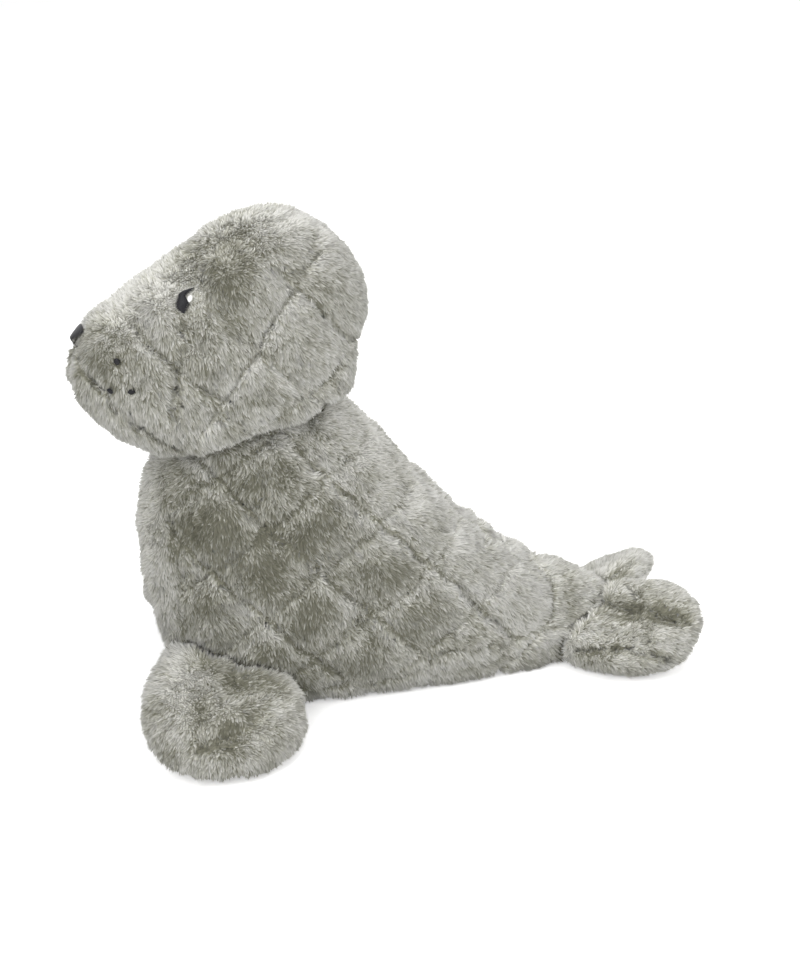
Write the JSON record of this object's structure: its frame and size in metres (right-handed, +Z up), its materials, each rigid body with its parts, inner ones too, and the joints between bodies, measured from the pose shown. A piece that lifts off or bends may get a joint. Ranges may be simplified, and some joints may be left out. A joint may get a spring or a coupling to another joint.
{
  "type": "plush seal dog toy",
  "caption": "Quilted plush seal toy for a dog, soft stuffed, resting on its belly and flippers with its head raised.",
  "frame": {"origin": "on the floor, under the middle of the toy's outer box", "axes": "+Z up, the nose points to -X, the tail to +X, the toy's own left side is at -Y"},
  "size_m": [0.2796, 0.202, 0.2277],
  "materials": {
    "grey_plush": "short soft polyester pile, olive grey in the hollows and pale grey at the tips, quilted in diamonds",
    "black_thread": "black satin stitch embroidery with a slight sheen",
    "white_thread": "white embroidery thread"
  },
  "bodies": {
    "root": {"torso": "grey_plush", "head": "grey_plush", "front_flipper_left": "grey_plush", "front_flipper_right": "grey_plush", "tail_flipper_left": "grey_plush", "tail_flipper_right": "grey_plush", "eye_stitching_left": "black_thread", "eye_stitching_right": "black_thread", "nose_stitching": "black_thread", "whisker_stitch_left_1": "black_thread", "whisker_stitch_left_2": "black_thread", "whisker_stitch_left_3": "black_thread", "whisker_stitch_right_1": "black_thread", "whisker_stitch_right_2": "black_thread", "whisker_stitch_right_3": "black_thread", "eye_glint_left": "white_thread", "eye_glint_right": "white_thread"}
  },
  "joints": []
}
